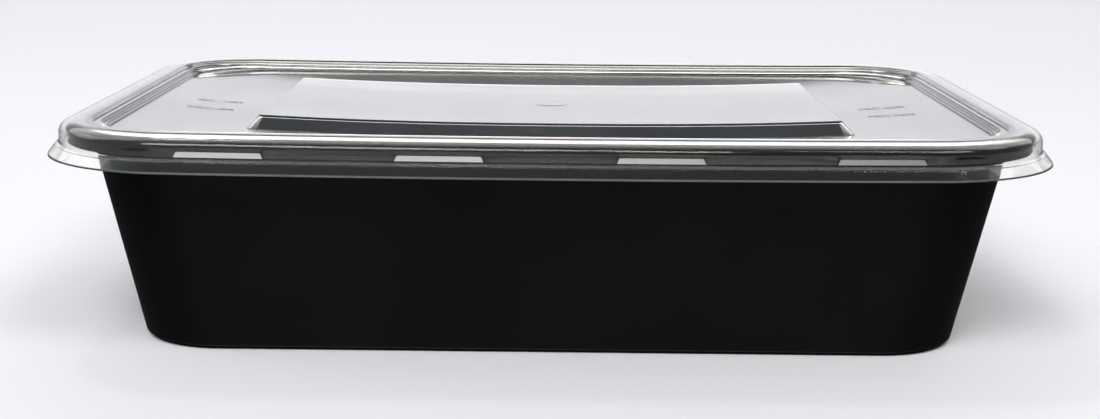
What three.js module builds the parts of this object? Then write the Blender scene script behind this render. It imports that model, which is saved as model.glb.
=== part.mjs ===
// A rectangular takeaway meal container: a black moulded tray and the clear lid that snaps over its rim.
// Millimetres, +Z up, the origin on the table at the middle of the base, the long side along X.
// Both pieces are thin moulded shells, so each is a loft: rounded rectangular rings, one round the next,
// closed by a fan of faces at the middle of its upper side and another at the middle of its lower side.

import * as THREE from "three";

// The outline that every inset is counted from is the lid's upright wall, seen from above.
const LENGTH = 168;
const WIDTH = 115.6;
const CORNER = 21;

// Heights above the table.
const BEAD_TOP = 39.4;
const PANEL = 37.35;
const SHOULDER = 35.3;
const LID_BOTTOM = 33.3;
const RIM_TOP = 38.1;
const RIM_STEP = 37.3;
const LIP_BOTTOM = 35.45;

// The lid. Its panel ends at a ledge, where a low step climbs to the bead: an arch over the tray's rim whose
// section is a flat quarter of an ellipse on the inside of its crest and a steep one on the outside.
const LID_WALL = 0.5;
const LEDGE = { inset: -8.1, corner: 15.2 };
const STEP = { foot: -7.6, top: -7.35, rise: 0.9, slope: -5.7, slopeRise: 1.34 };
const ARCH = { crest: -2.2, innerWidth: 2.7, innerRise: 0.55, outerWidth: 2.2, outerRise: 2.1 };
const FLARE = 1.95;
const LIP_EDGE = 0.3;

// The platform in the panel's middle, with rings between the gate mark and its edge as shares of its size.
const PLATFORM = { halfX: 54, halfY: 29.4, rise: 2.45, slant: 2.25, corner: 1.9, edge: 0.6 };
const PLATFORM_SHARES = [[0.4, 0.5], [0.75, 0.8]];
const GATE_MARK = { half: 3, corner: 2.7, rise: 0.05, edge: 0.2 };
const APRON = { reach: 10, corner: 8 };

// Snap lugs: dents in the lid's wall, deepest at the top, that catch under the step in the tray's lip.
const LUG = { half: 7.55, ramp: 0.75, depth: 0.6, top: 36.7, bottom: 35.8 };
const LONG_SIDE_LUGS = [-53.4, -17.9, 17.9, 53.4];
const SHORT_SIDE_LUGS = [-18.5, 18.5];

// The tray. Its wall ends below the rim's top, and the rim rises from there over a slope to its crest.
const TRAY_WALL = 0.65;
const FLOOR = 0.75;
const FLOOR_ROUND = 2.6;
const BASE_ROUND = 0.5;
const FOOT = { height: 0.65, width: 1.6, setback: 0.7, draft: 0.3 };
const BASE_INSET = -12.3;
const DRAFT = 0.188;
const BASE_CORNER = 14.9;
const CORNER_GROWTH = 0.05;
const WALL_END = 1.85;
const RIM = { bend: -5.9, slope: -4.85, crest: -2.4, edge: -0.95, round: 0.35 };
const RIM_DROP = { bend: 1.35, slope: 0.5, outside: 1.5 };
const LIP = { inset: -1.65, lean: 0.2, width: 0.75, root: -4.4 };
const MIDDLE = { inset: -46, corner: 6 };

// Thin mouldings warp: the rims dip along the long sides, and the lid's panel dips further in the middle.
const RIM_DIP = 0.55;
const PANEL_DIP = 2.35;

const CORNER_STEPS = 8;
const ROUND_STEPS = 3;

const rimDip = (x) => RIM_DIP * (1 - Math.min(1, Math.abs(x) / (LENGTH / 2)) ** 2);

function panelDip(x, y) {
  const alongX = Math.min(1, Math.abs(x) / (LENGTH / 2 + LEDGE.inset));
  const alongY = Math.min(1, Math.abs(y) / (WIDTH / 2 + LEDGE.inset));
  return PANEL_DIP * (1 - alongX ** 2.5) * (1 - alongY ** 4);
}

// Where points stand along half the straight stretches of a side, as shares of that half, from -1 to 1.
const evenly = (count) => Array.from({ length: count }, (_, i) => ((i + 1) / (count + 1)) * 2 - 1);

// The points that a lug needs on its side: both ends of its ramps.
function lugStations(centres, straightHalf) {
  const ends = [-LUG.half, -LUG.half + LUG.ramp, LUG.half - LUG.ramp, LUG.half];
  return centres.flatMap((centre) => ends.map((end) => (centre + end) / straightHalf));
}

const LID_STATIONS = {
  long: lugStations(LONG_SIDE_LUGS, LENGTH / 2 - CORNER).sort((a, b) => a - b),
  short: lugStations(SHORT_SIDE_LUGS, WIDTH / 2 - CORNER).sort((a, b) => a - b),
};
const TRAY_STATIONS = { long: evenly(5), short: evenly(3) };

// A rounded rectangle, anticlockwise from the right side's upper end, as a list of THREE.Vector2.
function outline(halfX, halfY, radius, stations) {
  const points = [];
  const sides = [
    { turn: 0, from: [halfX - radius, halfY - radius], along: [-1, 0], stations: stations.long },
    { turn: 1, from: [-(halfX - radius), halfY - radius], along: [0, -1], stations: stations.short },
    { turn: 2, from: [-(halfX - radius), -(halfY - radius)], along: [1, 0], stations: stations.long },
    { turn: 3, from: [halfX - radius, -(halfY - radius)], along: [0, 1], stations: stations.short },
  ];
  for (const side of sides) {
    const start = (side.turn * Math.PI) / 2;
    const [cx, cy] = side.from;
    const arc = new THREE.EllipseCurve(cx, cy, radius, radius, start, start + Math.PI / 2);
    const arcPoints = arc.getPoints(CORNER_STEPS);
    points.push(...arcPoints);
    const end = arcPoints[CORNER_STEPS];
    const reach = side.along[0] ? halfX - radius : halfY - radius;
    for (const share of side.stations) {
      const step = (share + 1) * reach;
      points.push(new THREE.Vector2(end.x + side.along[0] * step, end.y + side.along[1] * step));
    }
  }
  return points;
}

// A closed shell lofted through rings of equal length, with a fan over the first and the last.
function loft(rings) {
  const around = rings[0].length;
  const middles = [rings[0], rings[rings.length - 1]].map((ring) =>
    ring.reduce((sum, point) => sum.add(point), new THREE.Vector3()).divideScalar(around),
  );
  const vertices = [...rings.flat(), ...middles];
  const faces = [];
  for (let i = 0; i < around; i += 1) {
    const j = (i + 1) % around;
    for (let ring = 0; ring + 1 < rings.length; ring += 1) {
      const here = ring * around;
      const next = here + around;
      faces.push(here + i, next + i, next + j, here + i, next + j, here + j);
    }
    const last = (rings.length - 1) * around;
    faces.push(vertices.length - 2, i, j);
    faces.push(vertices.length - 1, last + j, last + i);
  }
  return new THREE.BufferGeometry().setFromPoints(vertices).setIndex(faces);
}

// The same line moved over by a distance to its right, with its corners mitred: a wall's other face.
function otherFace(profile, distance) {
  const normal = (a, b) => new THREE.Vector2(b.z - a.z, a.inset - b.inset).normalize();
  return profile.map((point, i) => {
    const before = normal(profile[Math.max(0, i - 1)], profile[Math.max(1, i)]);
    const after = normal(
      profile[Math.min(i, profile.length - 2)],
      profile[Math.min(i + 1, profile.length - 1)],
    );
    const mid = before.clone().add(after).normalize();
    const reach = distance / Math.max(0.6, mid.dot(after));
    return { ...point, inset: point.inset + mid.x * reach, z: point.z + mid.y * reach };
  });
}

// How far a lug pushes the lid's wall inwards at a point of a ring, from 0 to the lug's depth.
function lugPush(x, y, z) {
  const height = (z - LUG.bottom) / (LUG.top - LUG.bottom);
  if (height < 0 || height > 1) return 0;
  const onLongSide = Math.abs(x) < LENGTH / 2 - CORNER + 0.01;
  const place = onLongSide ? x : y;
  const centres = onLongSide ? LONG_SIDE_LUGS : SHORT_SIDE_LUGS;
  const gaps = centres.map((centre) => LUG.half - Math.abs(place - centre));
  return LUG.depth * height * THREE.MathUtils.clamp(Math.max(...gaps) / LUG.ramp, 0, 1);
}

// The lid's corner radius shrinks with the inset, and more slowly between the bead and the ledge.
function lidRadius(inset) {
  const beadInset = ARCH.crest - ARCH.innerWidth;
  if (inset > beadInset) return CORNER + inset;
  return THREE.MathUtils.mapLinear(inset, LEDGE.inset, beadInset, LEDGE.corner, CORNER + beadInset);
}

// One ring of the lid's rim at an inset from the lid's outline and a height.
function lidRing({ inset, z }) {
  const halfX = LENGTH / 2 + inset;
  const halfY = WIDTH / 2 + inset;
  return outline(halfX, halfY, lidRadius(inset), LID_STATIONS).map(({ x, y }) => {
    const push = lugPush(x, y, z);
    const onLongSide = Math.abs(x) < LENGTH / 2 - CORNER + 0.01;
    return new THREE.Vector3(
      onLongSide ? x : x - Math.sign(x) * push,
      onLongSide ? y - Math.sign(y) * push : y,
      z - rimDip(x),
    );
  });
}

// One ring of the lid's panel, which dips in the middle.
function panelRing(halfX, halfY, radius, z) {
  return outline(halfX, halfY, radius, LID_STATIONS).map(
    ({ x, y }) => new THREE.Vector3(x, y, z - rimDip(x) - panelDip(x, y)),
  );
}

// The panel from its middle outwards: the raised platform, its slanted wall and the floor round it.
function panelRings(drop) {
  const { halfX, halfY, rise, slant, corner, edge } = PLATFORM;
  const top = PANEL + rise - drop;
  const floor = PANEL - drop;
  const topX = halfX - slant;
  const topY = halfY - slant;
  const mark = GATE_MARK.half + GATE_MARK.edge;
  return [
    panelRing(GATE_MARK.half, GATE_MARK.half, GATE_MARK.corner, top + GATE_MARK.rise),
    panelRing(mark, mark, GATE_MARK.corner + GATE_MARK.edge, top),
    ...PLATFORM_SHARES.map(([x, y]) => panelRing(topX * x, topY * y, corner, top)),
    panelRing(topX - edge, topY - edge, corner - edge / 2, top),
    panelRing(topX, topY, corner, top - edge / 4),
    panelRing(halfX, halfY, corner + edge, floor + edge / 4),
    panelRing(halfX + edge, halfY + edge, corner + 1.5 * edge, floor),
    panelRing(halfX + APRON.reach, halfY + APRON.reach, APRON.corner, floor),
  ];
}

// Points of the bead's arch at some turns, as shares of half a circle: 0 at the wall, 1/2 at the crest.
const archPoints = (turns, width, rise) =>
  turns.map((turn) => ({
    inset: ARCH.crest + width * Math.cos(turn * Math.PI),
    z: BEAD_TOP + rise * (Math.sin(turn * Math.PI) - 1),
  }));

// The rim's upper and outer face, from the panel's edge up over the bead and down to the flared lip.
const LID_RIM = [
  { inset: LEDGE.inset, z: PANEL },
  { inset: STEP.foot, z: PANEL + 0.12 },
  { inset: STEP.top, z: PANEL + STEP.rise },
  { inset: STEP.slope, z: PANEL + STEP.slopeRise },
  ...archPoints([5 / 6, 2 / 3], ARCH.innerWidth, ARCH.innerRise),
  ...archPoints([1 / 2, 3 / 8, 1 / 4, 1 / 8, 0], ARCH.outerWidth, ARCH.outerRise),
  { inset: 0, z: LUG.top + 0.15 },
  { inset: 0, z: LUG.top },
  { inset: 0.05, z: LUG.bottom },
  { inset: 0.07, z: SHOULDER + 0.12 },
  { inset: 0.6, z: SHOULDER - 0.02 },
  { inset: FLARE - 0.1, z: LID_BOTTOM + LIP_EDGE },
  { inset: FLARE, z: LID_BOTTOM },
];

function lidGeometry() {
  const under = otherFace(LID_RIM, LID_WALL);
  const underEdge = { ...under[0], inset: LEDGE.inset + 0.12, z: PANEL - LID_WALL };
  const lip = { ...under[under.length - 1], z: LID_BOTTOM };
  const innerRim = [underEdge, ...under.slice(1, -1), lip].reverse();
  return loft([
    ...panelRings(0),
    ...LID_RIM.map(lidRing),
    ...innerRim.map(lidRing),
    ...panelRings(LID_WALL).reverse(),
  ]);
}

// The tray's outer wall leans outwards as it rises, and its corners open up with it.
const wallInset = (z) => BASE_INSET + DRAFT * z;
const wallRadius = (z) => BASE_CORNER + CORNER_GROWTH * z;

function trayRing({ inset, z, radius }) {
  const sink = (z / RIM_TOP) ** 2;
  const shape = outline(LENGTH / 2 + inset, WIDTH / 2 + inset, radius ?? CORNER + inset, TRAY_STATIONS);
  return shape.map(({ x, y }) => new THREE.Vector3(x, y, z - rimDip(x) * sink));
}

// A wall's rounded lower edge: a quarter of an arc from a level up to the wall, a thickness in from it.
function roundedEdge(level, round, thickness) {
  return Array.from({ length: ROUND_STEPS + 1 }, (_, i) => {
    const turn = (i / ROUND_STEPS) * (Math.PI / 2);
    const inwards = thickness + round * (1 - Math.sin(turn));
    const z = level + round * (1 - Math.cos(turn));
    return { inset: wallInset(z) - inwards, z, radius: wallRadius(z) - inwards };
  });
}

// Inside: the food well's floor, its round edge and the wall up to the rim.
function insideRings() {
  const floor = FOOT.height + FLOOR;
  const end = RIM_TOP - WALL_END;
  return [
    { inset: MIDDLE.inset, z: floor, radius: MIDDLE.corner },
    ...roundedEdge(floor, FLOOR_ROUND, TRAY_WALL),
    { inset: wallInset(end) - TRAY_WALL, z: end, radius: wallRadius(end) - TRAY_WALL },
  ];
}

// The rim: a flange whose top slopes up to a crest, and a lip turned down at its edge, stepped for the lugs.
function rimRings() {
  const under = RIM_TOP - TRAY_WALL;
  return [
    { inset: RIM.bend, z: RIM_TOP - RIM_DROP.bend },
    { inset: RIM.slope, z: RIM_TOP - RIM_DROP.slope },
    { inset: RIM.crest, z: RIM_TOP },
    { inset: RIM.edge - RIM.round, z: RIM_TOP - 0.05 },
    { inset: RIM.edge, z: RIM_TOP - RIM.round },
    { inset: RIM.edge, z: RIM_STEP + 0.1 },
    { inset: LIP.inset, z: RIM_STEP },
    { inset: LIP.inset + LIP.lean, z: LIP_BOTTOM },
    { inset: LIP.inset + LIP.lean - LIP.width, z: LIP_BOTTOM },
    { inset: LIP.inset - LIP.width, z: under },
    { inset: LIP.root, z: under },
  ];
}

// Outside: the wall down to a rounded edge, the foot ring that the tray stands on and the panel within it.
function outsideRings() {
  const top = RIM_TOP - RIM_DROP.outside;
  const footEdge = BASE_INSET - FOOT.setback;
  const footInside = footEdge - FOOT.width;
  const foot = (inset, z) => ({ inset, z, radius: BASE_CORNER + inset - BASE_INSET });
  return [
    { inset: wallInset(top), z: top, radius: wallRadius(top) },
    ...roundedEdge(FOOT.height, BASE_ROUND, 0).reverse(),
    foot(footEdge, FOOT.height - 0.05),
    foot(footEdge, 0),
    foot(footInside, 0),
    foot(footInside - FOOT.draft, FOOT.height),
    { inset: MIDDLE.inset, z: FOOT.height, radius: MIDDLE.corner },
  ];
}

const trayGeometry = () => loft([...insideRings(), ...rimRings(), ...outsideRings()].map(trayRing));

const BLACK = { color: 0x15171a, roughness: 0.42, metalness: 0 };
const CLEAR = { color: 0xe9ecec, roughness: 0.08, metalness: 0, transparent: true, opacity: 0.35 };

function piece(name, geometry, material) {
  geometry.computeVertexNormals();
  const mesh = new THREE.Mesh(geometry, new THREE.MeshStandardMaterial(material));
  mesh.name = name;
  return mesh;
}

const container = new THREE.Group();
container.add(piece("tray", trayGeometry(), BLACK));
container.add(piece("lid", lidGeometry(), CLEAR));

export default container;
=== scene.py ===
"""Dresses a takeaway meal container: a black moulded tray under a clear snap-on lid.

Lengths in the classes are millimetres, counted as the moulds are: an inset is a distance from the lid's
upright wall, seen from above, outwards positive. Meshes are made in metres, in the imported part's frame.
"""

import logging
from dataclasses import dataclass, field
from enum import Enum

import bpy
import numpy as np
from mathutils import Matrix, Vector

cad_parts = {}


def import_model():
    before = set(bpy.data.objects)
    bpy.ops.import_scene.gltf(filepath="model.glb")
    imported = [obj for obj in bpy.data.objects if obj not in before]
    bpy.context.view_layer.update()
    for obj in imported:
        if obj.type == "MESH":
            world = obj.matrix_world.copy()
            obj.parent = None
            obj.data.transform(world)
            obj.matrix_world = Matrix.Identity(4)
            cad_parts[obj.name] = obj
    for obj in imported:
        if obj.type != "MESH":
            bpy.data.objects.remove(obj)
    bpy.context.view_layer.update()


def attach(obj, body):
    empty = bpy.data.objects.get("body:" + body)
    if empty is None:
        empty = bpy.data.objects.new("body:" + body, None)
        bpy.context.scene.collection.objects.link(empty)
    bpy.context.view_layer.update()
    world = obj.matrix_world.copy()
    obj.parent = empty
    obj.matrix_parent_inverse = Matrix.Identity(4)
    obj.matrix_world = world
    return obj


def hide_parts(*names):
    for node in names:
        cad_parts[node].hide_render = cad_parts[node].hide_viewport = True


Array = np.ndarray
Socket = bpy.types.NodeSocket
Triple = tuple[float, float, float]

MM = 0.001
BODY = "root"
PLASTIC_IOR = 1.49
log = logging.getLogger("container")


class Side(Enum):
    """The two kinds of side that a rounded rectangle has."""

    LONG = "long"
    SHORT = "short"


# Shapes


def unit(vectors: Array) -> Array:
    """Scales each row of an array to length one.

    Args:
        vectors: Rows of two or three numbers.

    Returns:
        The same rows divided by their lengths.
    """
    return vectors / np.maximum(np.linalg.norm(vectors, axis=1, keepdims=True), 1e-12)


def moved_over(corners: Array, distance: float) -> Array:
    """Gives the other face of a wall: each corner moves along the bisector of its two normals.

    A normal is the direction turned a quarter to the right. The bisector is stretched by one over the cosine
    of half the turn, so that both neighbours end up the same distance away. The stretch is at most 1/0.6.

    Args:
        corners: Rows of (inset, height) along the face.
        distance: How far to the right of the line's direction the other face lies.

    Returns:
        Rows of (inset, height) of the other face.
    """
    along = unit(np.diff(corners, axis=0))
    normals = np.column_stack([along[:, 1], -along[:, 0]])
    before = np.vstack([normals[:1], normals])
    after = np.vstack([normals, normals[-1:]])
    middle = unit(before + after)
    stretch = 1 / np.maximum(0.6, (middle * after).sum(axis=1))
    return corners + middle * (distance * stretch)[:, None]


def rounded(corners: Array, radii: Array, steps: int = 5) -> Array:
    """Rounds the corners of a profile with circular arcs.

    Each arc is a rational quadratic curve from where it leaves one straight to where it joins the next. Its
    middle control point is the corner, with the cosine of half the turn as its weight. It takes up at most
    0.46 of the shorter straight beside it.

    Args:
        corners: Rows of (inset, height).
        radii: The radius at each corner, zero for one that stays sharp; the first and the last are not used.
        steps: Spans in each arc.

    Returns:
        Rows of (inset, height): the first corner, every arc's points and the last corner.
    """
    here = corners[1:-1]
    back = corners[:-2] - here
    ahead = corners[2:] - here
    back_length = np.linalg.norm(back, axis=1)
    ahead_length = np.linalg.norm(ahead, axis=1)
    turn = np.pi - np.arccos(np.clip((unit(back) * unit(ahead)).sum(axis=1), -1, 1))
    reach = np.minimum(radii[1:-1] * np.tan(turn / 2), 0.46 * np.minimum(back_length, ahead_length))
    start = here + unit(back) * reach[:, None]
    end = here + unit(ahead) * reach[:, None]
    weight = np.cos(turn / 2)[:, None, None]
    share = np.linspace(0, 1, steps + 1)[None, :, None]
    first, middle, last = (1 - share) ** 2, 2 * share * (1 - share) * weight, share**2
    arcs = first * start[:, None] + middle * here[:, None] + last * end[:, None]
    arcs = arcs / (first + middle + last)
    kept = (radii[1:-1, None] > 0) | (np.arange(steps + 1) == 0)[None, :]
    return np.vstack([corners[:1], arcs[kept], corners[-1:]])


def eased(share: Array) -> Array:
    """Gives 3s^2 - 2s^3 of a share held between 0 and 1: a ramp with no corner at either end."""
    held = np.clip(share, 0, 1)
    return held * held * (3 - 2 * held)


@dataclass(frozen=True)
class Stations:
    """Where points stand along the sides' straight stretches, as shares from -1 to 1 of half a stretch."""

    long: Array
    short: Array
    corner_steps: int = 36

    @staticmethod
    def evenly(long: int, short: int) -> "Stations":
        """Spreads the points evenly.

        Args:
            long: Points on each long side.
            short: Points on each short side.

        Returns:
            The stations.
        """
        return Stations(np.linspace(-1, 1, long + 2)[1:-1], np.linspace(-1, 1, short + 2)[1:-1])


@dataclass(frozen=True)
class Ring:
    """A stack of rounded rectangles, one a row, as arrays of half lengths, corner radii and heights."""

    half_x: Array
    half_y: Array
    radius: Array
    height: Array

    def points(self, stations: Stations) -> Array:
        """Walks every rectangle anticlockwise from the right side's far end.

        A corner's points are its centre plus the radius times (cos a, sin a) for a quarter turn of a. A
        straight stretch runs from one corner's end to the next one's start, at the stations' shares of it.

        Args:
            stations: Where the points stand.

        Returns:
            An array of rows by points by (x, y, height).
        """
        sides = (
            (1, 1, Side.LONG, (-1, 0)),
            (-1, 1, Side.SHORT, (0, -1)),
            (-1, -1, Side.LONG, (1, 0)),
            (1, -1, Side.SHORT, (0, 1)),
        )
        radius = self.radius[:, None]
        flat_x = (self.half_x - self.radius)[:, None]
        flat_y = (self.half_y - self.radius)[:, None]
        parts = []
        for quarter, (sign_x, sign_y, side, (step_x, step_y)) in enumerate(sides):
            angle = (quarter + np.linspace(0, 1, stations.corner_steps + 1))[None, :] * np.pi / 2
            arc_x = sign_x * flat_x + radius * np.cos(angle)
            arc_y = sign_y * flat_y + radius * np.sin(angle)
            share = (stations.long if side is Side.LONG else stations.short)[None, :] + 1
            reach = flat_x if side is Side.LONG else flat_y
            line_x = arc_x[:, -1:] + step_x * share * reach
            line_y = arc_y[:, -1:] + step_y * share * reach
            parts.append(np.stack([np.hstack([arc_x, line_x]), np.hstack([arc_y, line_y])], axis=2))
        plan = np.concatenate(parts, axis=1)
        height = np.broadcast_to(self.height[:, None, None], (*plan.shape[:2], 1))
        return np.concatenate([plan, height], axis=2)

    def columns(self) -> tuple[Array, Array, Array, Array]:
        """Gives the four arrays in the order that a stack is made of."""
        return self.half_x, self.half_y, self.radius, self.height


def stacked(*rings: Ring) -> Ring:
    """Joins stacks of rectangles end to end."""
    return Ring(*(np.concatenate(column) for column in zip(*(ring.columns() for ring in rings))))


def closed_shell(name: str, points: Array) -> bpy.types.Object:
    """Makes a closed mesh of rows of points, each a closed loop, with the first and last rows fanned shut.

    A face joins a point, the next point of its row and the two beside them in the next row. A point at the
    mean of an end row closes that row with triangles.

    Args:
        name: The object's name.
        points: Rows by points by (x, y, z), in millimetres.

    Returns:
        The object, at the origin, smooth shaded.
    """
    rows, around = points.shape[:2]
    vertices = np.vstack([points.reshape(-1, 3), points[0].mean(axis=0), points[-1].mean(axis=0)]) * MM
    row, column = np.meshgrid(np.arange(rows - 1), np.arange(around), indexing="ij")
    after = (column + 1) % around
    here, beside = row * around, (row + 1) * around
    quads = np.stack([here + column, beside + column, beside + after, here + after], axis=2).reshape(-1, 4)
    column = np.arange(around)
    after = (column + 1) % around
    last = (rows - 1) * around
    first_fan = np.column_stack([np.full(around, rows * around), column, after])
    last_fan = np.column_stack([np.full(around, rows * around + 1), last + after, last + column])
    mesh = bpy.data.meshes.new(name)
    mesh.from_pydata(vertices.tolist(), [], [*quads.tolist(), *first_fan.tolist(), *last_fan.tolist()])
    mesh.polygons.foreach_set("use_smooth", np.ones(len(mesh.polygons), dtype=bool))
    mesh.update()
    mesh.validate()
    made = bpy.data.objects.new(name, mesh)
    bpy.context.scene.collection.objects.link(made)
    return made


# Finishes


class Shader:
    """Builds one material's nodes around its own Principled shader.

    A pattern runs from 0 to 1, and colours and values are spread over the middle part of it.
    """

    middle = (0.3, 0.7)

    def __init__(self, name: str) -> None:
        """Starts a material that holds a Principled shader and an output.

        Args:
            name: The material's name.
        """
        self.material = bpy.data.materials.new(name)
        self.material.use_nodes = True
        self.nodes = self.material.node_tree.nodes
        self.links = self.material.node_tree.links
        self.principled = self.nodes["Principled BSDF"]
        self.place = self.nodes.new("ShaderNodeTexCoord").outputs["Object"]

    def noise(self, size: float, detail: float, rough: float = 0.5, squeeze: Triple = (1, 1, 1)) -> Socket:
        """Adds a cloudy pattern whose lumps measure about size metres across.

        Args:
            size: Width of a lump in metres.
            detail: Octaves of finer lumps.
            rough: How strong the finer lumps are.
            squeeze: Factors on x, y and z before the pattern is read; a small one draws lumps out that way.

        Returns:
            The pattern's socket, from 0 to 1.
        """
        node = self.nodes.new("ShaderNodeTexNoise")
        node.inputs["Scale"].default_value = 1 / size
        node.inputs["Detail"].default_value = detail
        node.inputs["Roughness"].default_value = rough
        stretched = self.nodes.new("ShaderNodeMapping")
        stretched.inputs["Scale"].default_value = squeeze
        self.links.new(self.place, stretched.inputs["Vector"])
        self.links.new(stretched.outputs["Vector"], node.inputs["Vector"])
        return node.outputs["Fac"]

    def colours(self, pattern: Socket, low: tuple, high: tuple) -> Socket:
        """Turns a pattern into a blend of two colours.

        Args:
            pattern: A socket from 0 to 1.
            low: Colour at 0.3, as linear red, green and blue.
            high: Colour at 0.7.

        Returns:
            The colour's socket.
        """
        ramp = self.nodes.new("ShaderNodeValToRGB")
        ramp.color_ramp.elements[0].position = self.middle[0]
        ramp.color_ramp.elements[0].color = (*low, 1)
        ramp.color_ramp.elements[1].position = self.middle[1]
        ramp.color_ramp.elements[1].color = (*high, 1)
        self.links.new(pattern, ramp.inputs["Fac"])
        return ramp.outputs["Color"]

    def mixed(self, pattern: Socket, low: Socket, high: tuple) -> Socket:
        """Fades a colour towards another one where a pattern is high.

        Args:
            pattern: A socket from 0 to 1.
            low: The colour's socket where the pattern is 0.3 or less.
            high: Colour where it is 0.7 or more, as linear red, green and blue.

        Returns:
            The colour's socket.
        """
        blend = self.nodes.new("ShaderNodeMix")
        blend.data_type = "RGBA"
        self.links.new(self.between(pattern, 0.0, 1.0), blend.inputs["Factor"])
        self.links.new(low, blend.inputs["A"])
        blend.inputs["B"].default_value = (*high, 1)
        return blend.outputs["Result"]

    def between(self, pattern: Socket, low: float, high: float) -> Socket:
        """Spreads a pattern's middle part over a range of values.

        Args:
            pattern: A socket from 0 to 1.
            low: Value where the pattern is 0.3.
            high: Value where it is 0.7.

        Returns:
            The value's socket.
        """
        return self.carried(pattern, self.middle, (low, high))

    def carried(self, value: Socket, before: tuple[float, float], after: tuple[float, float]) -> Socket:
        """Carries a value from one range over to another, and holds it at the ends."""
        node = self.nodes.new("ShaderNodeMapRange")
        for name, number in zip(("From Min", "From Max", "To Min", "To Max"), (*before, *after)):
            node.inputs[name].default_value = number
        self.links.new(value, node.inputs["Value"])
        return node.outputs["Result"]

    def along(self, start: float, end: float) -> Socket:
        """Adds a pattern that climbs from 0.3 to 0.7 along the long side.

        Args:
            start: Distance from the middle, in metres to the right, where the climb starts.
            end: Distance where it ends.

        Returns:
            The pattern's socket.
        """
        split = self.nodes.new("ShaderNodeSeparateXYZ")
        self.links.new(self.place, split.inputs["Vector"])
        return self.carried(split.outputs["X"], (start, end), self.middle)

    def bumps(self, *layers: tuple[Socket, float]) -> None:
        """Stacks bump layers and puts them on the shader.

        Args:
            layers: Pairs of a height pattern and the height in metres that a step from 0 to 1 stands for.
        """
        below = None
        for pattern, height in layers:
            bump = self.nodes.new("ShaderNodeBump")
            bump.inputs["Strength"].default_value = 1
            bump.inputs["Distance"].default_value = height
            self.links.new(pattern, bump.inputs["Height"])
            if below is not None:
                self.links.new(below, bump.inputs["Normal"])
            below = bump.outputs["Normal"]
        self.links.new(below, self.principled.inputs["Normal"])

    def put(self, **values: object) -> None:
        """Sets or links the shader's own inputs.

        Args:
            values: Input names with underscores for spaces, each a value or a socket.
        """
        for name, value in values.items():
            slot = self.principled.inputs[name.replace("_", " ")]
            if isinstance(value, Socket):
                self.links.new(value, slot)
            else:
                slot.default_value = value


@dataclass(frozen=True)
class BlackPolypropylene:
    """Satin black plastic: finely grained by its mould, with soft flow marks and rubbed patches."""

    dark: Triple = (0.0025, 0.003, 0.0034)
    pale: Triple = (0.0042, 0.0049, 0.0053)
    smooth: float = 0.38
    dull: float = 0.48
    specular: float = 0.07
    flow_height: float = 0.00012
    grain_height: float = 0.000006

    def made(self) -> bpy.types.Material:
        """Builds the material.

        Returns:
            The material.
        """
        shader = Shader("black_polypropylene")
        flow = shader.noise(size=0.028, detail=3, rough=0.55)
        rubbed = shader.noise(size=0.011, detail=4, rough=0.6)
        grain = shader.noise(size=0.00035, detail=2)
        shader.put(
            Base_Color=shader.colours(flow, self.dark, self.pale),
            Roughness=shader.between(rubbed, self.smooth, self.dull),
            Specular_IOR_Level=self.specular,
            IOR=PLASTIC_IOR,
        )
        shader.bumps((flow, self.flow_height), (grain, self.grain_height))
        return shader.material


@dataclass(frozen=True)
class PolishedPolypropylene:
    """The top of the black rim, which the mould polished: the same black plastic with more gloss."""

    colour: Triple = (0.0035, 0.004, 0.0045)
    smooth: float = 0.2
    dull: float = 0.32
    specular: float = 0.03
    wear_height: float = 0.00002
    worn: float = 1.5

    def made(self) -> bpy.types.Material:
        """Builds the material.

        Returns:
            The material.
        """
        shader = Shader("polished_polypropylene")
        rubbed = shader.noise(size=0.009, detail=3, rough=0.6)
        shader.put(
            Base_Color=shader.colours(rubbed, self.colour, tuple(self.worn * part for part in self.colour)),
            Roughness=shader.between(rubbed, self.smooth, self.dull),
            Specular_IOR_Level=self.specular,
            IOR=PLASTIC_IOR,
        )
        shader.bumps((rubbed, self.wear_height))
        return shader.material


@dataclass(frozen=True)
class ClearPolypropylene:
    """Clear plastic: glossy, a little hazy, with faint waves and flow lines that run round its walls."""

    dark: Triple = (0.875, 0.862, 0.82)
    pale: Triple = (0.915, 0.902, 0.865)
    haze: float = 0.075
    gloss: float = 0.035
    wave_height: float = 0.000004
    line_height: float = 0.0000004

    def made(self) -> bpy.types.Material:
        """Builds the material.

        Returns:
            The material.
        """
        shader = Shader("clear_polypropylene")
        waves = shader.noise(size=0.0075, detail=2, rough=0.4)
        clouds = shader.noise(size=0.02, detail=3)
        lines = shader.noise(size=0.001, detail=1, squeeze=(0.05, 0.05, 1.0))
        shader.put(
            Base_Color=shader.colours(clouds, self.dark, self.pale),
            Roughness=shader.between(clouds, self.gloss, self.haze),
            Transmission_Weight=1.0,
            IOR=PLASTIC_IOR,
        )
        shader.bumps((waves, self.wave_height), (lines, self.line_height))
        return shader.material


@dataclass(frozen=True)
class MilkyPolypropylene:
    """Clear plastic turned milky: on the lugs, which the mould strained, and along the lip's cut edge.

    At the right end the milk's colour is scaled by a factor, weaker or stronger: painted shade for the lugs
    there, which get less of the light.
    """

    name: str
    milk: Triple
    clearness: float
    right_shade: float = 1.0
    smooth: float = 0.3
    dull: float = 0.5
    streak_height: float = 0.00003
    streaked: float = 1.08

    def made(self) -> bpy.types.Material:
        """Builds the material.

        Returns:
            The material.
        """
        shader = Shader(self.name)
        streaks = shader.noise(size=0.0016, detail=3, rough=0.6)
        fresh = shader.colours(streaks, self.milk, tuple(self.streaked * part for part in self.milk))
        # Painted shade: from the middle to 60 mm right, the milk fades to its darker colour at the right
        # end.
        right = shader.along(start=0.0, end=0.06)
        shader.put(
            Base_Color=shader.mixed(right, fresh, tuple(self.right_shade * part for part in self.milk)),
            Roughness=shader.between(streaks, self.smooth, self.dull),
            Transmission_Weight=self.clearness,
            IOR=PLASTIC_IOR,
        )
        shader.bumps((streaks, self.streak_height))
        return shader.material


# The container


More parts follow.
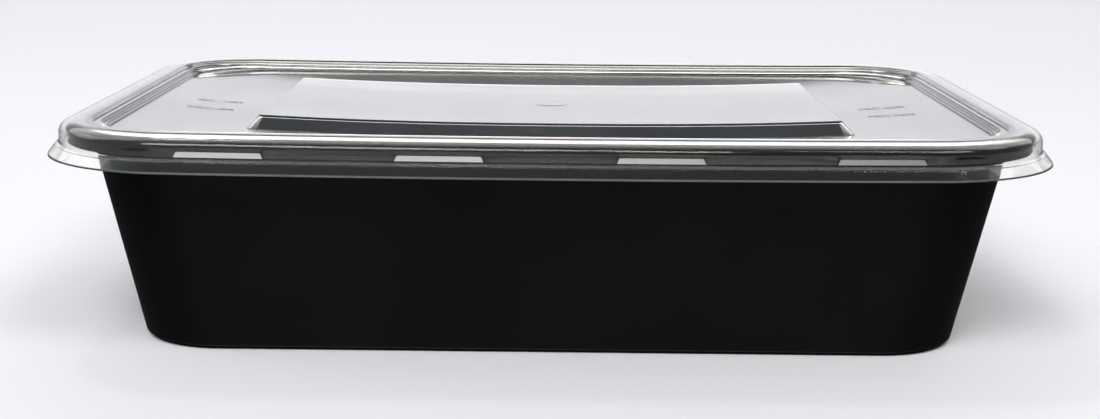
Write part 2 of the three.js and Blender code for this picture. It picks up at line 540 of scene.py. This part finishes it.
@dataclass(frozen=True)
class Outline:
    """The lid's upright wall seen from above, and how the thin mouldings warp."""

    half_x: float = 84.0
    half_y: float = 57.8
    corner: float = 21.0
    rim_dip: float = 0.55
    panel_dip: float = 2.35
    ledge: float = 8.1
    ledge_corner: float = 15.2
    slack: float = 0.01

    def on_straight(self, places: Array, half: float) -> Array:
        """Tells which places along a side lie on its straight stretch, given half the side's length."""
        return np.abs(places) <= half - self.corner + self.slack

    def dipped(self, x: Array) -> Array:
        """Gives the rims' dip at x: rim_dip times one less the square of x's share of the half length."""
        return self.rim_dip * (1 - np.minimum(1, np.abs(x) / self.half_x) ** 2)

    def dished(self, x: Array, y: Array) -> Array:
        """Gives how far the lid's panel dips below a flat one.

        It is panel_dip times one less x's share of the panel to the power 2.5, times one less y's share to
        the power 4.

        Args:
            x: Places along the long side.
            y: Places along the short side.

        Returns:
            Depths below a flat panel.
        """
        along_x = np.minimum(1, np.abs(x) / (self.half_x - self.ledge))
        along_y = np.minimum(1, np.abs(y) / (self.half_y - self.ledge))
        return self.panel_dip * (1 - along_x**2.5) * (1 - along_y**4)

    def ring(self, profile: Array, radius: Array) -> Ring:
        """Turns rows of (inset, height) and corner radii into a stack of rectangles."""
        return Ring(self.half_x + profile[:, 0], self.half_y + profile[:, 0], radius, profile[:, 1])


@dataclass(frozen=True)
class Lugs:
    """Snap lugs: dents in the lid's wall, deepest at the top, that catch under the tray's stepped lip."""

    half: float = 7.55
    ramp: float = 0.75
    depth: float = 0.6
    top: float = 36.7
    bottom: float = 35.8
    taper: float = 0.06
    margin: float = 0.25
    long_side: tuple[float, ...] = (-53.4, -17.9, 17.9, 53.4)
    short_side: tuple[float, ...] = (-18.5, 18.5)

    def rise(self, height: Array) -> Array:
        """Gives the share of the way up the lug, held between 0 and 1."""
        return np.clip((height - self.bottom) / (self.top - self.bottom), 0, 1)

    def inside(self, height: Array) -> Array:
        """Tells which heights are those of the lugs."""
        return (height >= self.bottom) & (height <= self.top)

    def from_middle(self, outline: Outline, points: Array) -> Array:
        """Gives each point's distance along its side from the middle of the nearest lug.

        At a corner it is the distance along the short side, which is more than half a lug there.

        Args:
            outline: The lid's outline.
            points: Rows by points by (x, y, height).

        Returns:
            Rows by points of distances.
        """
        x, y = points[..., 0], points[..., 1]
        to_long = np.abs(x[..., None] - np.array(self.long_side)).min(axis=-1)
        to_short = np.abs(y[..., None] - np.array(self.short_side)).min(axis=-1)
        return np.where(outline.on_straight(x, outline.half_x), to_long, to_short)

    def tapered(self, outline: Outline, points: Array) -> Array:
        """Draws the points at a lug together towards its middle as they rise, so that its ends lean inwards.

        A distance from the middle shrinks by the taper times the share of the way up the lug.

        Args:
            outline: The lid's outline.
            points: Rows by points by (x, y, height).

        Returns:
            The moved points.
        """
        moved = points.copy()
        inside = self.inside(points[..., 2])
        sides = ((0, self.long_side, outline.half_x), (1, self.short_side, outline.half_y))
        for axis, centres, half in sides:
            straight = outline.on_straight(points[..., axis], half)
            for centre in centres:
                gap = points[..., axis] - centre
                near = inside & straight & (np.abs(gap) < self.half + self.margin)
                moved[..., axis] -= np.where(near, gap * self.taper * self.rise(points[..., 2]), 0)
        return moved

    def stations(self, centres: tuple[float, ...], straight: float, spacing: float) -> Array:
        """Places points on a side: evenly, and close together on every lug's ramps.

        Args:
            centres: The lugs' middles on the side.
            straight: Half the side's straight stretch.
            spacing: Distance between the even points.

        Returns:
            Shares of the half stretch, in rising order.
        """
        count = round(2 * straight / spacing)
        even = np.linspace(-straight, straight, count + 1)[1:-1]
        ends = np.array([[centre - self.half, centre + self.half] for centre in centres]).reshape(-1)
        inward = np.array([[1, -1] for _ in centres]).reshape(-1)
        steps = np.linspace(-0.25, 1.25, 7) * self.ramp
        dense = (ends[:, None] + inward[:, None] * steps[None, :]).reshape(-1)
        least_gap = 0.35
        clear = np.abs(even[:, None] - dense[None, :]).min(axis=1) > least_gap
        return np.sort(np.concatenate([even[clear], dense])) / straight

    def push(self, outline: Outline, points: Array) -> Array:
        """Gives how far each point of the wall is pushed in.

        The depth times the share of the way up the lug, times an eased ramp at both ends of the lug.

        Args:
            outline: The lid's outline.
            points: Rows by points by (x, y, height).

        Returns:
            Rows by points of pushes in millimetres.
        """
        height = points[..., 2]
        gap = self.half - self.from_middle(outline, points)
        return np.where(self.inside(height), self.depth * self.rise(height) * eased(gap / self.ramp), 0.0)


@dataclass(frozen=True)
class Platform:
    """The raised middle of the lid's panel and the gate mark at its centre."""

    half_x: float = 54.0
    half_y: float = 29.4
    rise: float = 2.45
    slant: float = 2.25
    corner: float = 1.3
    top_flat: float = 0.3
    foot_flat: float = 0.4
    margin: float = 2.2
    top_round: float = 0.25
    foot_round: float = 0.35
    spans: int = 7
    crown_rows: int = 12
    apron_rows: int = 14
    gate: float = 3.0
    gate_rise: float = 0.05


@dataclass(frozen=True)
class Lid:
    """The clear lid: a bead over the tray's rim, a wall with lugs, a flared lip and a dished panel."""

    outline: Outline
    lugs: Lugs = field(default_factory=Lugs)
    platform: Platform = field(default_factory=Platform)
    wall: float = 0.5
    bead_top: float = 39.28
    bead_width: float = 5.4
    arch_width: float = 3.0
    arch_height: float = 2.1
    arch_lift: float = 0.12
    panel: float = 37.35
    shoulder: float = 35.3
    bottom: float = 33.3
    flare: float = 1.95
    edge_height: float = 0.45
    rim_spans: int = 4
    arch_points: tuple[int, int] = (13, 17)
    long_spacing: float = 4.0
    short_spacing: float = 4.4
    corner_steps: int = 24

    def steps(self) -> Array:
        """Lists the corners of the low steps that climb from the panel's edge to the bead.

        Returns:
            Rows of (inset, height, rounding).
        """
        return np.array(
            [
                [-self.outline.ledge, self.panel, 0.05],
                [-7.8, self.panel + 0.06, 0.05],
                [-7.55, self.panel + 0.66, 0.06],
                [-7.0, self.panel + 0.72, 0.06],
                [-6.8, self.panel + 1.24, 0.06],
                [-5.65, self.panel + 1.26, 0.06],
            ]
        )

    def arch(self, depth: float) -> Array:
        """Walks the bead's arch: a flat quarter ellipse up to the crest and a steep one down to the wall.

        Args:
            depth: How far under the outer face this one lies.

        Returns:
            Rows of (inset, height, zero for no further rounding).
        """
        up = np.linspace(np.pi, np.pi / 2, self.arch_points[0])
        down = np.linspace(np.pi / 2, 0, self.arch_points[1])[1:]
        inner_width = self.bead_width - self.arch_width - depth
        inner = self.arch_quarter(up, inner_width, self.arch_lift, depth)
        outer = self.arch_quarter(down, self.arch_width - depth, self.arch_height - depth, depth)
        return np.vstack([inner, outer])

    def arch_quarter(self, turn: Array, width: float, height: float, depth: float) -> Array:
        """Walks a part of an ellipse whose highest point is the bead's crest or lies under it.

        A point is the centre plus half the width times the cosine and half the height times the sine of its
        turn.

        Args:
            turn: The points' turns, a quarter of a circle at the crest.
            width: Half the ellipse's width.
            height: Half its height.
            depth: How far its highest point lies under the crest.

        Returns:
            Rows of (inset, height, zero for no further rounding).
        """
        inset = -self.arch_width + width * np.cos(turn)
        level = self.bead_top - depth + height * (np.sin(turn) - 1)
        return np.column_stack([inset, level, np.zeros(len(turn))])

    def skirt(self) -> Array:
        """Lists the corners of the wall with the lugs, the shoulder and the flared lip's upright edge.

        Returns:
            Rows of (inset, height, rounding).
        """
        return np.array(
            [
                [0.02, self.lugs.top - 0.1, 0.04],
                [0.05, self.lugs.bottom, 0.1],
                [0.1, self.shoulder + 0.22, 0.25],
                [0.62, self.shoulder - 0.16, 0.25],
                [self.flare - 0.1, self.bottom + 0.3, 0.1],
                [self.flare, self.bottom, 0.1],
            ]
        )

    def rim_radius(self, inset: Array) -> Array:
        """Gives the corner radius at an inset: it shrinks with the inset, more slowly inside the bead."""
        plan = self.outline.corner
        radii = [self.outline.ledge_corner, plan - self.bead_width]
        inside = np.interp(inset, [-self.outline.ledge, -self.bead_width], radii)
        return np.where(inset < -self.bead_width, inside, plan + inset)

    def rim(self) -> tuple[Ring, Ring]:
        """Builds both faces of the rim.

        Returns:
            The upper face from the panel outwards, and the lower face from the lip inwards.
        """
        steps, skirt = self.steps(), self.skirt()
        over, under = self.arch(0.0), self.arch(self.wall)
        lower_steps, lower_skirt = steps.copy(), skirt.copy()
        lower_steps[:, :2] = moved_over(np.vstack([steps, over[:1]])[:, :2], self.wall)[:-1]
        lean = 0.12
        lower_steps[0, :2] = (steps[0, 0] + lean, self.panel - self.wall)
        lower_skirt[:, :2] = moved_over(np.vstack([over[-1:], skirt])[:, :2], self.wall)[1:]
        lower_skirt[-1, 1] = self.bottom
        faces = []
        for table in (np.vstack([steps, over, skirt]), np.vstack([lower_steps, under, lower_skirt])[::-1]):
            profile = rounded(table[:, :2], table[:, 2], self.rim_spans)
            faces.append(self.outline.ring(profile, self.rim_radius(profile[:, 0])))
        return faces[0], faces[1]

    def panel_face(self, drop: float) -> Ring:
        """Builds one face of the panel, from its middle out to the ledge.

        The gate mark's disc, whose edge falls from 0.93 to 1.07 of its radius, then rectangles that grow in
        a straight blend from it to the platform's edge, the platform's rounded slanted wall, and a second
        straight blend out to the ledge.

        Args:
            drop: How far below the upper face this one lies.

        Returns:
            The stack of rectangles, before the panel's dish.
        """
        shape, outline = self.platform, self.outline
        top, floor = self.panel + shape.rise - drop, self.panel - drop
        disc = np.array([0.25, 0.6, 0.85, 0.93, 1.0, 1.07, 1.2]) * shape.gate
        lift = shape.gate_rise * eased((1.07 * shape.gate - disc) / (0.14 * shape.gate))
        mark = Ring(disc, disc, disc * 0.98, top + lift)
        inner = -shape.slant - np.array([shape.margin, shape.top_flat, 0])
        insets = np.concatenate([inner, [0, shape.foot_flat, shape.margin]])
        wall = rounded(
            np.column_stack([insets, [top, top, top, floor, floor, floor]]),
            np.array([0, 0, shape.top_round, shape.foot_round, 0, 0]),
            shape.spans,
        )
        flank = Ring(
            shape.half_x + wall[:, 0],
            shape.half_y + wall[:, 0],
            np.maximum(0.5, shape.corner + 0.6 * (wall[:, 0] + shape.slant / 2)),
            wall[:, 1],
        )
        ends = (outline.half_x - outline.ledge, outline.half_y - outline.ledge, outline.ledge_corner, floor)
        edge = Ring(*np.array(ends)[:, None])
        crown = self.blend(mark, flank, shape.crown_rows)
        apron = self.blend(flank, edge, shape.apron_rows)
        return stacked(mark, crown, flank, apron)

    @staticmethod
    def blend(start: Ring, end: Ring, count: int) -> Ring:
        """Fills the space between the last rectangle of one stack and the first of another in even steps.

        Args:
            start: The stack before the space.
            end: The stack after it.
            count: Rectangles in the space.

        Returns:
            The rectangles, both neighbours left out.
        """
        share = np.linspace(0, 1, count + 2)[1:-1]
        pairs = zip(start.columns(), end.columns())
        return Ring(*(low[-1] + share * (high[0] - low[-1]) for low, high in pairs))

    def shaped(self, ring: Ring, stations: Stations, dish: bool) -> Array:
        """Turns rectangles into points: dished on the panel, pushed in at the lugs elsewhere, and dipped.

        Args:
            ring: The rectangles.
            stations: Where the points stand.
            dish: Whether the rectangles are the panel's.

        Returns:
            Rows by points by (x, y, z).
        """
        points = ring.points(stations)
        x, y = points[..., 0], points[..., 1]
        moved = points.copy()
        if dish:
            moved[..., 2] -= self.outline.dished(x, y)
        else:
            push = self.lugs.push(self.outline, points)
            moved = self.lugs.tapered(self.outline, points)
            on_long = self.outline.on_straight(x, self.outline.half_x)
            moved[..., 0] -= np.where(on_long, 0, np.sign(x) * push)
            moved[..., 1] -= np.where(on_long, np.sign(y) * push, 0)
        moved[..., 2] -= self.outline.dipped(x)
        return moved

    def built(self) -> bpy.types.Object:
        """Builds the lid and its finishes.

        Returns:
            The lid.
        """
        outline, lugs = self.outline, self.lugs
        stations = Stations(
            lugs.stations(lugs.long_side, outline.half_x - outline.corner, self.long_spacing),
            lugs.stations(lugs.short_side, outline.half_y - outline.corner, self.short_spacing),
            self.corner_steps,
        )
        upper, lower = self.rim()
        under = self.panel_face(self.wall)
        turned = Ring(*(column[::-1] for column in under.columns()))
        faces = ((self.panel_face(0.0), True), (upper, False), (lower, False), (turned, True))
        points = np.concatenate([self.shaped(face, stations, dish) for face, dish in faces])
        lid = closed_shell("lid_shell", points)
        finishes = (
            ClearPolypropylene(),
            # The strained milk is darkened to 0.45 at the right end: painted shade on the right-hand lugs.
            MilkyPolypropylene("strained_polypropylene", (0.56, 0.57, 0.56), clearness=0.25, right_shade=0.45),
            MilkyPolypropylene("cut_polypropylene", (0.42, 0.42, 0.4), clearness=0.92),
        )
        for finish in finishes:
            lid.data.materials.append(finish.made())
        self.whiten(lid, points)
        return lid

    def whiten(self, lid: bpy.types.Object, points: Array) -> None:
        """Gives the lugs' outer faces the strained finish, and the lip's upright edge the cut one.

        A face of a lug has all four points pushed in; a face of the edge has all four within it.

        Args:
            lid: The lid, made of the points by closed_shell.
            points: Rows by points by (x, y, z).
        """
        x, y = points[..., 0], points[..., 1]
        level = points[..., 2] + self.outline.dipped(x)
        on_long = self.outline.on_straight(x, self.outline.half_x)
        wall_gap = np.where(on_long, self.outline.half_y - np.abs(y), self.outline.half_x - np.abs(x))
        height_slack, depth_slack, margin = 0.03, 0.05, 0.2
        near = self.lugs.from_middle(self.outline, points) < self.lugs.half - margin
        near &= (level > self.lugs.bottom - height_slack) & (level < self.lugs.top + height_slack)
        pushed = near & (wall_gap < self.lugs.depth + depth_slack) & (wall_gap > -margin)
        edge = level < self.bottom + self.edge_height
        index = np.zeros(len(lid.data.polygons), dtype=np.int32)
        for finish, marked in ((1, pushed), (2, edge)):
            pairs = marked[:-1] & marked[1:]
            quads = pairs & np.roll(pairs, -1, axis=1)
            index[: quads.size][quads.reshape(-1)] = finish
        lid.data.polygons.foreach_set("material_index", index)


@dataclass(frozen=True)
class Tray:
    """The black tray: foot ring, sloping walls and a flange with a stepped lip turned down at its edge."""

    outline: Outline
    wall: float = 0.65
    floor: float = 0.75
    foot_height: float = 0.65
    foot_width: float = 1.6
    base_inset: float = -12.3
    draft: float = 0.188
    base_corner: float = 14.9
    corner_growth: float = 0.05
    rim_top: float = 38.5
    rim_step: float = 37.3
    rim_inset: float = -1.3
    lip_inset: float = -1.65
    lip_bottom: float = 35.45
    middle_inset: float = -46.0
    middle_corner: float = 6.0
    foot_inset: float = 0.7
    polish_depth: float = 0.9
    polish_inset: float = -5.2
    spans: int = 5
    long_points: int = 31
    short_points: int = 21

    def wall_inset(self, height: float) -> float:
        """Gives the outer wall's inset at a height: it leans out as it rises."""
        return self.base_inset + self.draft * height

    def wall_radius(self, height: float) -> float:
        """Gives the outer wall's corner radius at a height: corners open up as they rise."""
        return self.base_corner + self.corner_growth * height

    def section(self) -> Array:
        """Lists the corners of the section, from the well's middle over the rim to the underside's middle.

        Returns:
            Rows of (inset, height, corner radius of the plan, fillet radius).
        """
        well = self.foot_height + self.floor
        top, rim, lip = self.rim_top, self.rim_inset, self.lip_inset
        high = top - 2.3
        under = top - 0.55 - self.wall
        plan = self.outline.corner
        foot = self.base_inset - self.foot_inset
        foot_corner = self.base_corner - self.foot_inset
        inner = foot - self.foot_width
        return np.array(
            [
                [self.middle_inset, well, self.middle_corner, 0],
                [self.wall_inset(well) - self.wall, well, self.wall_radius(well) - self.wall, 2.6],
                [self.wall_inset(high) - self.wall, high, self.wall_radius(high) - self.wall, 1.2],
                [-5.1, top - 1.2, plan - 5.1, 0.6],
                [-4.4, top - 0.1, plan - 4.4, 0.2],
                [-3.0, top, plan - 3.0, 1.0],
                [-1.9, top - 0.22, plan - 1.9, 0.5],
                [rim, top - 0.55, plan + rim, 0.2],
                [rim, self.rim_step, plan + rim, 0.12],
                [lip, self.rim_step, plan + lip, 0.1],
                [lip + 0.2, self.lip_bottom, plan + lip + 0.2, 0.2],
                [lip - 0.5, self.lip_bottom, plan + lip - 0.5, 0.2],
                [lip - 0.7, under, plan + lip - 0.7, 0.4],
                [-4.3, under, plan - 4.3, 0.3],
                [self.wall_inset(top - 1.9), top - 1.9, plan - 5.3, 0.5],
                [self.wall_inset(self.foot_height), self.foot_height, self.wall_radius(0.6), 0.9],
                [foot, self.foot_height - 0.05, foot_corner, 0.12],
                [foot, 0, foot_corner, 0.15],
                [inner, 0, foot_corner - self.foot_width, 0.15],
                [inner - 0.3, self.foot_height, foot_corner - self.foot_width - 0.3, 0.3],
                [self.middle_inset, self.foot_height, self.middle_corner, 0],
            ]
        )

    def built(self) -> bpy.types.Object:
        """Builds the tray and its finish.

        Returns:
            The tray.
        """
        section = self.section()
        profile = rounded(section[:, :2], section[:, 3], self.spans)
        repeats = [1, *[self.spans + 1] * (len(section) - 2), 1]
        radius = np.repeat(section[:, 2], repeats)
        stations = Stations.evenly(self.long_points, self.short_points)
        points = self.outline.ring(profile, radius).points(stations)
        points[..., 2] -= self.outline.dipped(points[..., 0]) * (points[..., 2] / self.rim_top) ** 2
        tray = closed_shell("tray_shell", points)
        tray.data.materials.append(BlackPolypropylene().made())
        tray.data.materials.append(PolishedPolypropylene().made())
        polished = (profile[:, 1] > self.rim_top - self.polish_depth) & (profile[:, 0] > self.polish_inset)
        faces = np.repeat(polished[:-1] & polished[1:], points.shape[1])
        index = np.zeros(len(tray.data.polygons), dtype=np.int32)
        index[: faces.size] = faces
        tray.data.polygons.foreach_set("material_index", index)
        return tray


@dataclass(frozen=True)
class RaisedBars:
    """Low plain bars moulded on the lid's panel, two on each side of the platform, along the long side."""

    lid: Lid
    places: tuple[float, ...] = (-7.0, 3.0)
    middle: float = 64.5
    half_width: float = 0.5
    half_length: float = 4.4
    rise: float = 0.07
    crown: float = 0.6
    end_radius: float = 0.48
    clearance: float = 0.004

    def built(self) -> list[bpy.types.Object]:
        """Builds the bars, each a rounded slab that follows the panel's dish.

        A slab's height is its rise less the crown times the square of the inset from its outermost line.

        Returns:
            The bars.
        """
        inset = np.array([0.3, 0.12, 0.02, 0.0])
        level = self.rise - self.crown * inset * inset
        slab = Ring(self.half_length - inset, self.half_width - inset, self.end_radius - inset, level)
        slab = stacked(slab, Ring(slab.half_x[-1:], slab.half_y[-1:], slab.radius[-1:], np.zeros(1)))
        stations = Stations(np.linspace(-1, 1, 9)[1:-1], np.array([]), corner_steps=4)
        outline = self.lid.outline
        bars = []
        for side, place in [(side, place) for side in (-1, 1) for place in self.places]:
            points = slab.points(stations)
            points[..., 0] += side * self.middle
            points[..., 1] += place
            x, y = points[..., 0], points[..., 1]
            points[..., 2] += self.lid.panel - outline.dished(x, y) - outline.dipped(x) + self.clearance
            bars.append(closed_shell(f"raised_bar_{len(bars) + 1}", points))
        return bars


@dataclass
class Container:
    """The whole container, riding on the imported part's only body."""

    outline: Outline = field(default_factory=Outline)

    def built(self) -> list[bpy.types.Object]:
        """Builds both pieces, and has each stand for its CAD node.

        Returns:
            The pieces.
        """
        tray, lid = Tray(self.outline), Lid(self.outline)
        pieces = []
        for node, maker in (("tray", tray), ("lid", lid)):
            piece = maker.built()
            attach(piece, BODY)
            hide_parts(node)
            pieces.append(piece)
        clear = pieces[-1].data.materials[0]
        for bar in RaisedBars(lid).built():
            bar.data.materials.append(clear)
            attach(bar, BODY)
            pieces.append(bar)
        return pieces


# The studio


class Duty(Enum):
    """What a panel of light is for."""

    LAMP = "lights the scene and shows in glossy surfaces"
    FILL = "lights the scene alone"
    CARD = "shows in glossy surfaces alone"


@dataclass(frozen=True)
class Softbox:
    """One soft panel of light that faces the container."""

    name: str
    place: Triple
    size: tuple[float, float]
    power: float
    duty: Duty
    colour: Triple = (1.0, 1.0, 1.0)
    aim: Triple = (0.0, 0.0, 0.03)

    def hang(self) -> None:
        """Hangs the lamp in its place."""
        data = bpy.data.lights.new(self.name, "AREA")
        data.shape = "RECTANGLE"
        data.size, data.size_y = self.size
        data.energy = self.power
        data.color = self.colour
        lamp = bpy.data.objects.new(self.name, data)
        lamp.location = self.place
        facing = Vector(self.aim) - Vector(self.place)
        lamp.rotation_euler = facing.to_track_quat("-Z", "Y").to_euler()
        lamp.visible_glossy = self.duty is not Duty.FILL
        lamp.visible_diffuse = self.duty is not Duty.CARD
        bpy.context.scene.collection.objects.link(lamp)


@dataclass(frozen=True)
class Studio:
    """The pale floor, the soft light round it and the camera."""

    floor_colour: Triple = (0.92, 0.91, 0.95)
    camera_place: Triple = (0.000325, -0.329602, 0.08216)
    pitch: float = 0.197917
    yaw: float = -0.00097
    roll: float = 0.010794
    lens: float = 56.22
    sensor: float = 36.0
    low_sky: Triple = (1.24, 1.22, 1.29)
    middle_sky: Triple = (0.32, 0.33, 0.34)
    top_sky: Triple = (0.34, 0.34, 0.36)
    front_left: Triple = (0.42, 0.42, 0.43)
    front_right: Triple = (0.19, 0.19, 0.18)
    paper_ahead: Triple = (0.85, 0.84, 0.86)
    paper_aside: Triple = (0.08, 0.08, 0.08)
    strength: float = 2.0
    sky_heights: tuple[float, ...] = (0.21, 0.29, 0.86, 0.96)
    far_weight: float = 1.5
    far_fade: tuple[float, float] = (0.75, 1.2)
    side_fade: tuple[float, float] = (-0.15, 0.2)
    paper_fade: tuple[float, float] = (0.06, 0.5)
    horizon_fade: tuple[float, float] = (-0.02, 0.01)

    def lay_floor(self) -> None:
        """Lays a wide flat floor at the height of the tray's foot."""
        reach = 6.0
        mesh = bpy.data.meshes.new("studio_floor")
        corners = [(-reach, -reach, 0), (reach, -reach, 0), (reach, reach, 0), (-reach, reach, 0)]
        mesh.from_pydata(corners, [], [(0, 1, 2, 3)])
        floor = bpy.data.objects.new("studio_floor", mesh)
        bpy.context.scene.collection.objects.link(floor)
        shader = Shader("studio_paper")
        tint = tuple(0.97 * part for part in self.floor_colour)
        shader.put(
            Base_Color=shader.colours(shader.noise(size=0.4, detail=2), self.floor_colour, tint),
            Roughness=0.9,
            Specular_IOR_Level=0.0,
        )
        mesh.materials.append(shader.material)
        floor.visible_glossy = False

    def held(self, colour: Triple) -> tuple[float, ...]:
        """Divides a colour by the room's strength, which multiplies it again."""
        return (*(part / self.strength for part in colour), 1)

    def mixed(self, tree: bpy.types.NodeTree, share: tuple, low: object, high: object) -> Socket:
        """Fades the room's colour from one to another.

        Args:
            tree: The room's nodes and links.
            share: A value's socket, its number at the first colour and its number at the second.
            low: First colour, as a socket or as radiances of red, green and blue.
            high: Second colour, given the same way.

        Returns:
            The colour's socket.
        """
        fade = tree.nodes.new("ShaderNodeMapRange")
        fade.interpolation_type = "SMOOTHSTEP"
        fade.inputs["From Min"].default_value, fade.inputs["From Max"].default_value = share[1:]
        tree.links.new(share[0], fade.inputs["Value"])
        blend = tree.nodes.new("ShaderNodeMix")
        blend.data_type = "RGBA"
        tree.links.new(fade.outputs["Result"], blend.inputs["Factor"])
        for name, colour in (("A", low), ("B", high)):
            if isinstance(colour, Socket):
                tree.links.new(colour, blend.inputs[name])
            else:
                blend.inputs[name].default_value = self.held(colour)
        return blend.outputs["Result"]

    def fill_room(self) -> None:
        """Gives the room its colours, each by the direction it is seen in.

        The sky beyond the container and overhead is bright up to 12 degrees above the horizon and grey from
        17 degrees. It shows where the direction's y plus far_weight times its z is over the second number of
        far_fade. Where that is below the first, the front of the room shows, grey at the left and dim at the
        right. Below the horizon lies the floor's paper as gloss shows it, pale ahead and dark aside.
        """
        world = bpy.data.worlds.new("studio_room")
        world.use_nodes = True
        tree = world.node_tree
        split = tree.nodes.new("ShaderNodeSeparateXYZ")
        tree.links.new(tree.nodes.new("ShaderNodeTexCoord").outputs["Generated"], split.inputs["Vector"])
        right, far, up = (split.outputs[axis] for axis in "XYZ")
        ramp = tree.nodes.new("ShaderNodeValToRGB")
        elements = ramp.color_ramp.elements
        for height in self.sky_heights[1:-1]:
            elements.new(height)
        skies = (self.low_sky, self.middle_sky, self.middle_sky, self.top_sky)
        for element, height, colour in zip(elements, self.sky_heights, skies):
            element.position = height
            element.color = self.held(colour)
        tree.links.new(up, ramp.inputs["Fac"])
        weighed = tree.nodes.new("ShaderNodeMath")
        weighed.operation = "MULTIPLY_ADD"
        weighed.inputs[1].default_value = self.far_weight
        tree.links.new(up, weighed.inputs[0])
        tree.links.new(far, weighed.inputs[2])
        aside = tree.nodes.new("ShaderNodeMath")
        aside.operation = "ABSOLUTE"
        tree.links.new(right, aside.inputs[0])
        dim = self.mixed(tree, (right, *self.side_fade), self.front_left, self.front_right)
        pale = self.mixed(tree, (weighed.outputs["Value"], *self.far_fade), dim, ramp.outputs["Color"])
        paper_share = (aside.outputs["Value"], *self.paper_fade)
        paper = self.mixed(tree, paper_share, self.paper_ahead, self.paper_aside)
        background = tree.nodes["Background"]
        background.inputs["Strength"].default_value = self.strength
        tree.links.new(self.mixed(tree, (up, *self.horizon_fade), paper, pale), background.inputs["Color"])
        bpy.context.scene.world = world

    @staticmethod
    def hang_lamps() -> None:
        """Hangs the lamps, the fills and the cards."""
        lamps = (
            Softbox("key_left", (-0.3, -0.95, 1.0), (0.7, 0.5), 9.6, Duty.FILL),
            Softbox("key_right", (0.55, -0.75, 1.1), (0.6, 0.5), 5.3, Duty.FILL),
            Softbox("lamp_left", (-0.95, 0.15, 0.55), (0.5, 0.4), 0.8, Duty.LAMP),
            Softbox("lamp_warm", (0.1, -1.0, 0.8), (0.1, 0.14), 0.5, Duty.LAMP, (1.0, 0.88, 0.7)),
            Softbox("lamp_high", (-0.3, 0.35, 1.1), (0.12, 0.12), 0.8, Duty.LAMP),
            Softbox("fill_far", (0.1, 1.1, 0.95), (1.6, 0.6), 6.3, Duty.FILL),
            Softbox("card_front", (0.0, -0.33, 1.53), (4.0, 0.38), 1.5, Duty.CARD, (0.6, 0.85, 1.0)),
            Softbox("card_top", (0.0, 0.035, 1.55), (4.0, 0.53), 11.0, Duty.CARD),
            Softbox("card_far", (0.0, 0.62, 1.3), (4.0, 0.84), 8.6, Duty.CARD),
            Softbox("card_low", (0.0, 1.12, 0.94), (4.0, 0.5), 6.8, Duty.CARD),
        )
        for lamp in lamps:
            lamp.hang()
            log.info("%s: %.1f W, %s", lamp.name, lamp.power, lamp.duty.value)

    def aim_camera(self) -> None:
        """Stands the camera where the photograph was taken.

        The camera looks along (sin yaw cos pitch, cos yaw cos pitch, -sin pitch), and is turned about that
        line by the roll.
        """
        ahead = Vector(
            (
                np.sin(self.yaw) * np.cos(self.pitch),
                np.cos(self.yaw) * np.cos(self.pitch),
                -np.sin(self.pitch),
            )
        )
        level = Vector((np.cos(self.yaw), -np.sin(self.yaw), 0))
        upright = level.cross(ahead)
        right = level * np.cos(self.roll) + upright * np.sin(self.roll)
        top = upright * np.cos(self.roll) - level * np.sin(self.roll)
        data = bpy.data.cameras.new("camera")
        data.lens = self.lens
        data.sensor_width = self.sensor
        data.clip_start = 0.01
        camera = bpy.data.objects.new("camera", data)
        turn = Matrix((right, top, -ahead)).transposed().to_4x4()
        camera.matrix_world = Matrix.Translation(self.camera_place) @ turn
        bpy.context.scene.collection.objects.link(camera)
        bpy.context.scene.camera = camera

    def set_up(self) -> None:
        """Sets up floor, light, camera and plain colour handling."""
        self.lay_floor()
        self.fill_room()
        self.hang_lamps()
        self.aim_camera()
        bpy.context.scene.view_settings.view_transform = "Standard"
        bpy.context.scene.view_settings.look = "None"


def main() -> None:
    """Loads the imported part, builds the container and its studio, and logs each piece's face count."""
    logging.basicConfig(level=logging.INFO, format="%(name)s %(message)s")
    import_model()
    for piece in Container().built():
        log.info("%s: %d faces", piece.name, len(piece.data.polygons))
    Studio().set_up()


if __name__ == "__main__":
    main()
